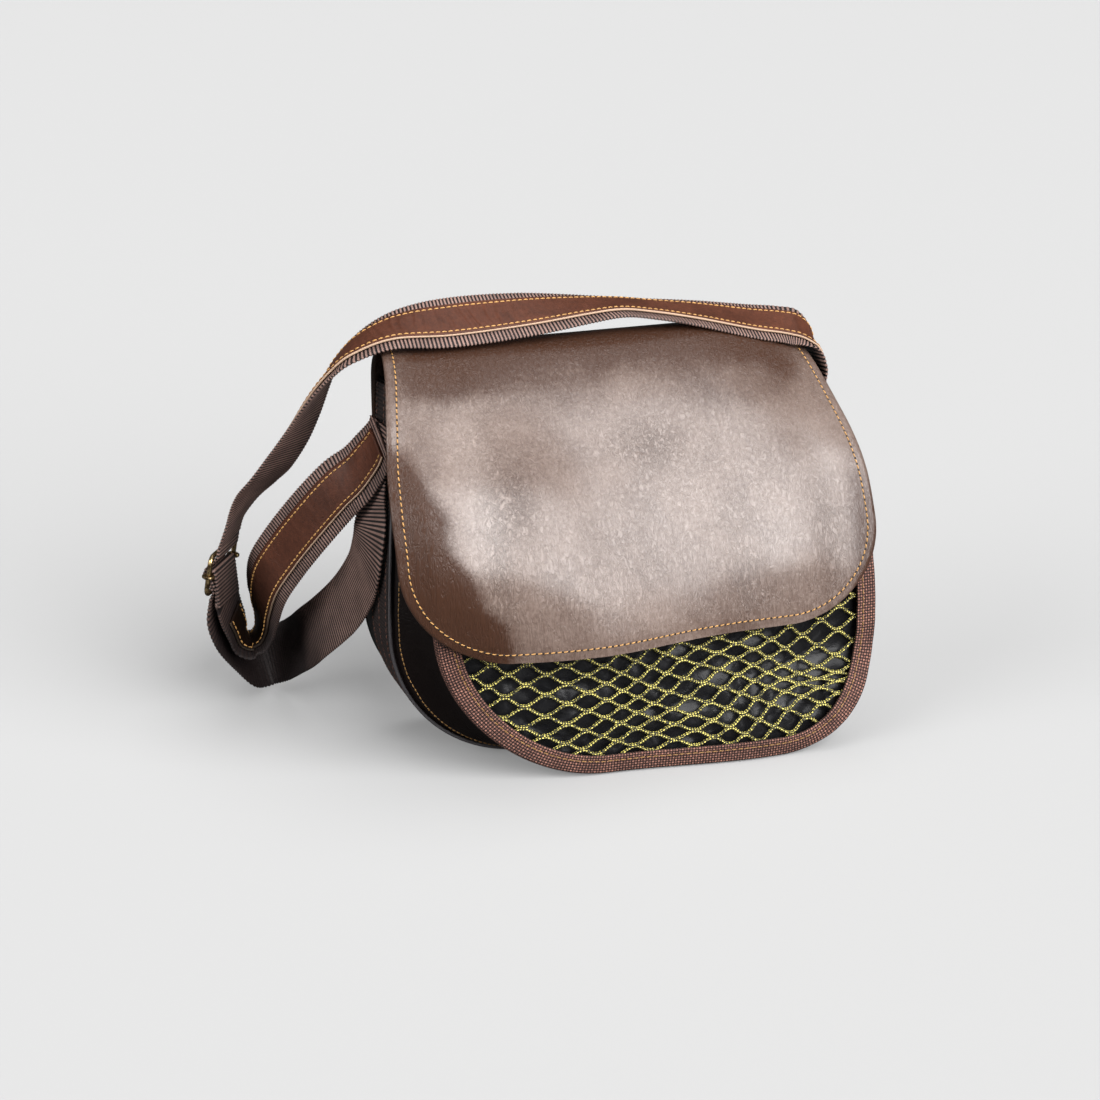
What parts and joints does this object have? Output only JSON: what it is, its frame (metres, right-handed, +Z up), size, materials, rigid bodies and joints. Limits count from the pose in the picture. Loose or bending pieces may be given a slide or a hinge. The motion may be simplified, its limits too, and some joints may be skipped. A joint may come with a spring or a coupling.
{
  "type": "hunting bag",
  "caption": "Leather hunting bag with a rounded flap, a diamond-net front pocket and an adjustable webbing shoulder strap laid over its top.",
  "frame": {"origin": "middle of the bag's base, on the surface it stands on", "axes": "+Z up; the flap hangs down the -Y side; +X to the right of someone who looks at the flap"},
  "size_m": [0.4095, 0.2311, 0.2824],
  "materials": {
    "dark_leather": "near-black smooth leather, soft shine",
    "flap_leather": "grey-brown waxed leather, soft shine",
    "strap_leather": "red-brown oiled leather, soft shine",
    "webbing": "dark brown ribbed webbing, matt",
    "binding_tape": "brown woven tape, matt",
    "net_cord": "yellow-green braided cord, matt",
    "pocket_liner": "thin black coated sheet, glossy",
    "antique_brass": "darkened brass wire, worn bright on edges"
  },
  "bodies": {
    "root": {"back_panel": "dark_leather", "main_gusset": "dark_leather", "gusset_webbing": "webbing", "front_panel": "dark_leather", "seam_welt": "flap_leather", "pocket_gusset": "dark_leather", "pocket_liner": "pocket_liner", "net_panel": "net_cord", "binding": "binding_tape", "flap": "flap_leather", "shoulder_webbing": "webbing", "shoulder_leather": "strap_leather", "loop_webbing": "webbing", "loop_leather": "strap_leather", "buckle_frame": "antique_brass", "buckle_bar": "antique_brass"}
  },
  "joints": []
}
